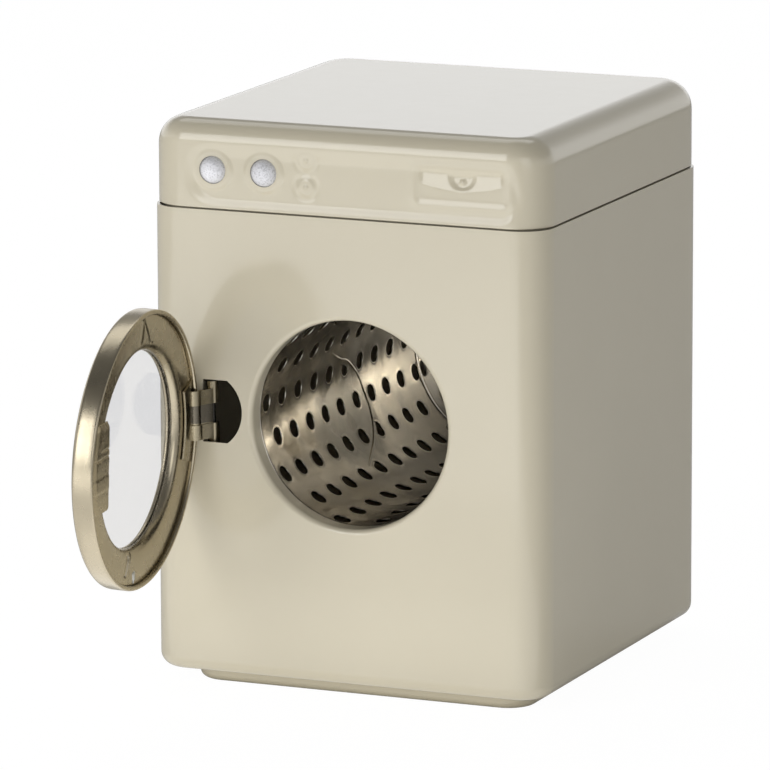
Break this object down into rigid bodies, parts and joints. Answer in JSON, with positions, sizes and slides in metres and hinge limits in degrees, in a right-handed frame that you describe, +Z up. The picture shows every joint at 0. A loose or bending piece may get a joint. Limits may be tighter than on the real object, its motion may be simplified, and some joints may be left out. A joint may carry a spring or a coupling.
{
  "type": "toy washing machine",
  "caption": "Sheet-metal toy front-loading washing machine: cabinet with pressed cap, round windowed door on a gooseneck hinge, perforated turning drum and two turning knobs.",
  "frame": {"origin": "centre of the resting face under the plinth, on the floor", "axes": "+Z up, -Y out of the front with the door and knobs, +X to the right seen from the front"},
  "size_m": [0.0952, 0.1633, 0.13],
  "materials": {
    "enamel": "glossy baked enamel",
    "nickel": "warm nickel plate, polished sheet",
    "drum_sheet": "bright perforated sheet",
    "steel": "plain steel",
    "brass": "turned brass",
    "clear": "clear sheet",
    "knob_metal": "hammered silver metal"
  },
  "bodies": {
    "cabinet": {"body_shell": "enamel", "back_panel": "enamel", "base_pan": "enamel", "top_cap": "enamel", "hinge_bracket": "steel", "hinge_pin": "steel", "bearing_plate": "steel", "plate_rivets": "steel", "rear_bush": "brass"},
    "door": {"door_front_ring": "nickel", "door_inner_ring": "nickel", "door_pane": "clear", "door_catch": "steel", "hinge_strap": "nickel"},
    "drum": {"drum_shell": "drum_sheet", "drum_back": "drum_sheet", "axle_flange": "steel", "flange_rivets": "steel", "drum_axle": "steel", "axle_washer": "steel", "axle_clip": "steel"},
    "knob_left": {"knob_left": "knob_metal", "knob_left_clip": "steel"},
    "knob_right": {"knob_right": "knob_metal", "knob_right_clip": "steel"}
  },
  "joints": [
    {"name": "door_hinge", "type": "hinge", "parent": "cabinet", "child": "door", "pos_m": [-0.0325, -0.0479, 0.06365], "axis": [0, -0.0419, 0.9991], "range_deg": [-4, 87.2]},
    {"name": "drum_spin", "type": "hinge", "parent": "cabinet", "child": "drum", "pos_m": [0.0015, 0.048, 0.0634], "axis": [0, 1, 0], "continuous": true},
    {"name": "knob_left_turn", "type": "hinge", "parent": "cabinet", "child": "knob_left", "pos_m": [-0.0314, -0.0499, 0.119], "axis": [0, -1, 0], "continuous": true},
    {"name": "knob_right_turn", "type": "hinge", "parent": "cabinet", "child": "knob_right", "pos_m": [-0.019, -0.0499, 0.119], "axis": [0, -1, 0], "continuous": true}
  ]
}
